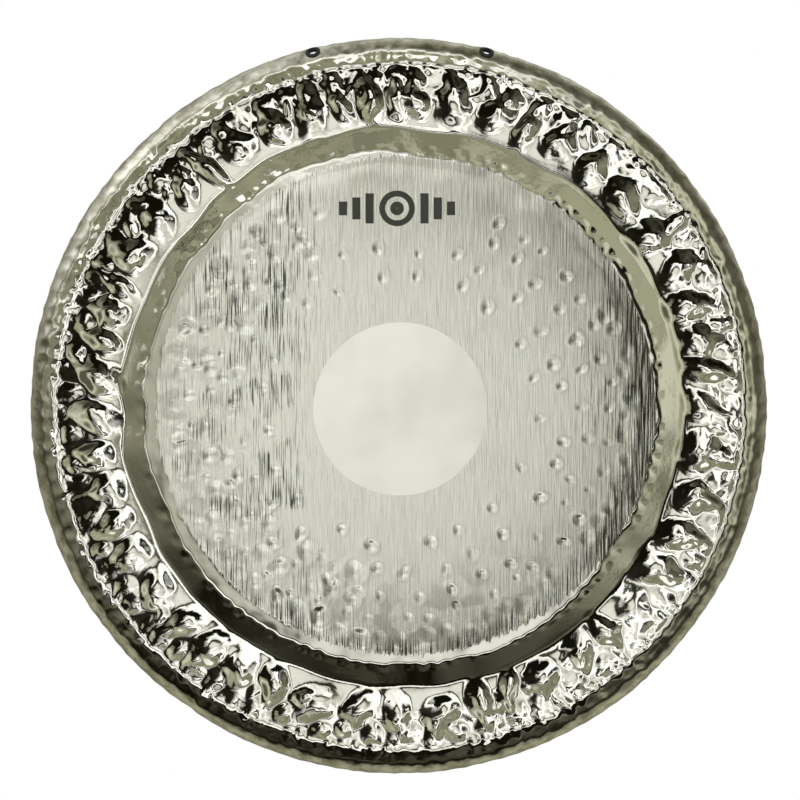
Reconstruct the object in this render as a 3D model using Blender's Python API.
"""A tam-tam gong: one hammered sheet with a turned-back rim, and the liners of its two hanging holes.

The gong hangs upright with its face looking along -Y and +Z up. The origin is the centre of its box.
Heights are measured forwards, towards -Y, from the plane of the rim's back edge.
"""

import math

import bmesh
import bpy
from mathutils import Matrix, Vector

# The sheet, in metres.
DIAMETER = 0.813
RIM_DEPTH = 0.060  # from the crest of the rim to its back edge
SHEET = 0.0017
ROLL_RADIUS = 0.026  # of the bend between the front and the turned-back flange, outside
FLANGE_LEAN = math.radians(4.0)  # the flange closes inwards towards its back edge

# Zones of the front, by the radius where each one ends.
FIELD_RADIUS = 0.262
LEDGE_START = 0.270
LEDGE_END = 0.281
VALLEY_RADIUS = 0.3165
CREST_RADIUS = DIAMETER / 2 - ROLL_RADIUS

# How far the front rises or falls across them.
FIELD_DOME = 0.0060
FIELD_STEP = 0.0015
VALLEY_DROP = 0.0130
SHOULDER_RISE = 0.0120

# The hanging holes, drilled square through the bend.
HOLE_TURN = math.radians(13.7)  # each side of the top, about the gong's axis
HOLE_LEAN = math.radians(54.0)  # of the hole's axis, from straight ahead towards the rim
HOLE_RADIUS = 0.0065

# The liners.
BORE_RADIUS = 0.0050
NECK_RADIUS = 0.0062
LIP_RADIUS = 0.0083
LIP_THICKNESS = 0.0012
LIP_GAP = 0.0006  # from the sheet's face, which is made of flats, to the lip
LIP_ROUND_STEPS = 4

# How finely the round shapes are divided.
PLATE_SEGMENTS = 80
LINER_SEGMENTS = 24
HOLE_SEGMENTS = 32
FIELD_RINGS = 4
STEP_RINGS = 2
WALL_RINGS = 5
SHOULDER_RINGS = 5
ROLL_STEPS = 8
AXIS_MERGE = 1e-6

VALLEY_HEIGHT = RIM_DEPTH - SHOULDER_RISE
LEDGE_HEIGHT = VALLEY_HEIGHT + VALLEY_DROP
FIELD_HEIGHT = LEDGE_HEIGHT + FIELD_STEP
TOTAL_DEPTH = FIELD_HEIGHT + FIELD_DOME
ROLL_HEIGHT = RIM_DEPTH - ROLL_RADIUS  # of the bend's own centre


def clear_scene():
    for obj in list(bpy.data.objects):
        bpy.data.objects.remove(obj)


def depth_at(height):
    """Y of a height above the back edge's plane."""
    return TOTAL_DEPTH / 2 - height


def eased(start, end, share):
    """From start to end as share goes from 0 to 1, level at both ends."""
    return start + (end - start) * (1 - math.cos(math.pi * share)) / 2


def eased_zone(inner, outer, start, end, rings):
    """Profile points across a zone that eases from one height to another, without its first point."""
    shares = [(i + 1) / rings for i in range(rings)]
    return [(inner + (outer - inner) * s, eased(start, end, s)) for s in shares]


def front_profile():
    """(radius, height) of the sheet's outer face, from the axis out and round to the back edge."""
    radii = [FIELD_RADIUS * i / FIELD_RINGS for i in range(FIELD_RINGS + 1)]
    points = [(r, FIELD_HEIGHT + FIELD_DOME * (1 - (r / FIELD_RADIUS) ** 2)) for r in radii]
    points += eased_zone(FIELD_RADIUS, LEDGE_START, FIELD_HEIGHT, LEDGE_HEIGHT, STEP_RINGS)
    points.append((LEDGE_END, LEDGE_HEIGHT))
    points += eased_zone(LEDGE_END, VALLEY_RADIUS, LEDGE_HEIGHT, VALLEY_HEIGHT, WALL_RINGS)
    points += eased_zone(VALLEY_RADIUS, CREST_RADIUS, VALLEY_HEIGHT, RIM_DEPTH, SHOULDER_RINGS)
    leans = [math.pi / 2 * (i + 1) / ROLL_STEPS for i in range(ROLL_STEPS)]
    for lean in leans + [math.pi / 2 + FLANGE_LEAN]:
        radius = CREST_RADIUS + ROLL_RADIUS * math.sin(lean)
        points.append((radius, ROLL_HEIGHT + ROLL_RADIUS * math.cos(lean)))
    last_radius, last_height = points[-1]
    points.append((last_radius - last_height * math.tan(FLANGE_LEAN), 0.0))
    return points


def inner_profile(outer):
    """The sheet's inner face: the outer profile moved in by the sheet's thickness, ending in the same plane."""
    points = []
    for i, (radius, height) in enumerate(outer):
        before = outer[max(i - 1, 0)]
        after = outer[min(i + 1, len(outer) - 1)]
        along = Vector((after[0] - before[0], after[1] - before[1])).normalized()
        points.append((radius + SHEET * along.y, height - SHEET * along.x))
    points[0] = (0.0, outer[0][1] - SHEET)
    points[-1] = (outer[-1][0] - SHEET / math.cos(FLANGE_LEAN), 0.0)
    return points


def new_object(name, mesh_maker, material):
    """An object of the mesh that mesh_maker builds, shaded smooth except at its edges."""
    mesh = bpy.data.meshes.new(name)
    mesh_maker.to_mesh(mesh)
    mesh_maker.free()
    mesh.materials.append(material)
    mesh.shade_smooth()
    mesh.set_sharp_from_angle(angle=math.radians(40))
    obj = bpy.data.objects.new(name, mesh)
    bpy.context.scene.collection.objects.link(obj)
    return obj


def turned_solid(loop):
    """A closed body turned about the Y axis from a loop of (radius, height) that starts and ends on it."""
    bm = bmesh.new()
    # The first ring starts straight up, so that the plate is exactly as tall and wide as its diameter.
    verts = [bm.verts.new((0.0, depth_at(height), radius)) for radius, height in loop]
    edges = [bm.edges.new(pair) for pair in zip(verts, verts[1:])]
    bmesh.ops.spin(
        bm,
        geom=verts + edges,
        cent=(0.0, 0.0, 0.0),
        axis=(0.0, 1.0, 0.0),
        angle=math.tau,
        steps=PLATE_SEGMENTS,
        use_merge=True,
    )
    bmesh.ops.remove_doubles(bm, verts=bm.verts, dist=AXIS_MERGE)
    bmesh.ops.recalc_face_normals(bm, faces=bm.faces)
    return bm


def hole_frame(side):
    """The frame of a hanging hole: +Z out along its axis, +Y along the bend, at the sheet's outer face."""
    turn = Matrix.Rotation(side * HOLE_TURN, 3, "Y")
    radius = CREST_RADIUS + ROLL_RADIUS * math.sin(HOLE_LEAN)
    height = ROLL_HEIGHT + ROLL_RADIUS * math.cos(HOLE_LEAN)
    place = turn @ Vector((0.0, depth_at(height), radius))
    out = turn @ Vector((0.0, -math.cos(HOLE_LEAN), math.sin(HOLE_LEAN)))
    across = turn @ Vector((1.0, 0.0, 0.0))
    frame = Matrix((across, out.cross(across), out)).transposed().to_4x4()
    frame.translation = place
    return frame


def bend_drop(across, along):
    """How far the bend falls away below the hole's own plane, at a place beside its axis."""
    hole_ring = CREST_RADIUS + ROLL_RADIUS * math.sin(HOLE_LEAN)
    round_gong = across**2 * math.sin(HOLE_LEAN) / (2 * hole_ring)
    return ROLL_RADIUS - math.sqrt(ROLL_RADIUS**2 - along**2) + round_gong


def lip_round(middle, facing):
    """The rounded outer edge of a lip, from the side given by facing (+1 or -1) to the other."""
    half = LIP_THICKNESS / 2
    turns = [facing * math.pi * (0.5 - i / LIP_ROUND_STEPS) for i in range(LIP_ROUND_STEPS + 1)]
    return [(LIP_RADIUS - half + half * math.cos(t), middle + half * math.sin(t)) for t in turns]


def liner_section():
    """(radius, rise above the sheet's outer face) round the wall of a liner, as a closed loop."""
    outer_lip = LIP_GAP + LIP_THICKNESS / 2
    inner_lip = -SHEET - outer_lip
    return [
        (BORE_RADIUS, outer_lip + LIP_THICKNESS / 2),
        *lip_round(outer_lip, 1),
        (NECK_RADIUS, outer_lip - LIP_THICKNESS / 2),
        (NECK_RADIUS, inner_lip + LIP_THICKNESS / 2),
        *lip_round(inner_lip, 1),
        (BORE_RADIUS, inner_lip - LIP_THICKNESS / 2),
    ]


def liner_body():
    """A liner in its hole's frame: a spool whose lips follow the bend."""
    bm = bmesh.new()
    section = liner_section()
    rings = []
    for i in range(LINER_SEGMENTS):
        turn = math.tau * i / LINER_SEGMENTS
        ring = []
        for radius, rise in section:
            across, along = radius * math.cos(turn), radius * math.sin(turn)
            ring.append(bm.verts.new((across, along, rise - bend_drop(across, along))))
        rings.append(ring)
    for ring, following in zip(rings, rings[1:] + rings[:1]):
        for i in range(len(section)):
            j = (i + 1) % len(section)
            bm.faces.new((ring[i], ring[j], following[j], following[i]))
    bmesh.ops.recalc_face_normals(bm, faces=bm.faces)
    return bm


def drill(plate, frame, name, material):
    """Cuts a hanging hole through the plate's bend."""
    bm = bmesh.new()
    bmesh.ops.create_cone(
        bm,
        cap_ends=True,
        segments=HOLE_SEGMENTS,
        radius1=HOLE_RADIUS,
        radius2=HOLE_RADIUS,
        depth=ROLL_RADIUS,
    )
    cutter = new_object(name, bm, material)
    cutter.matrix_world = frame
    cutter.hide_render = True
    cutter.display_type = "WIRE"
    cut = plate.modifiers.new(name, "BOOLEAN")
    cut.operation = "DIFFERENCE"
    cut.solver = "EXACT"
    cut.object = cutter


def new_material(name, colour, metallic, roughness):
    material = bpy.data.materials.new(name)
    material.use_nodes = True
    shader = material.node_tree.nodes["Principled BSDF"]
    shader.inputs["Base Color"].default_value = (*colour, 1.0)
    shader.inputs["Metallic"].default_value = metallic
    shader.inputs["Roughness"].default_value = roughness
    return material


def main():
    clear_scene()
    nickel_silver = new_material("nickel_silver", (0.72, 0.71, 0.65), 1.0, 0.18)
    black_rubber = new_material("black_rubber", (0.02, 0.02, 0.02), 0.0, 0.55)
    outer = front_profile()
    sheet = outer + inner_profile(outer)[::-1]
    plate = new_object("gong_plate", turned_solid(sheet), nickel_silver)
    for side, word in ((-1, "left"), (1, "right")):
        frame = hole_frame(side)
        drill(plate, frame, f"{word}_hole_cutter", nickel_silver)
        liner = new_object(f"{word}_hole_liner", liner_body(), black_rubber)
        liner.matrix_world = frame


main()
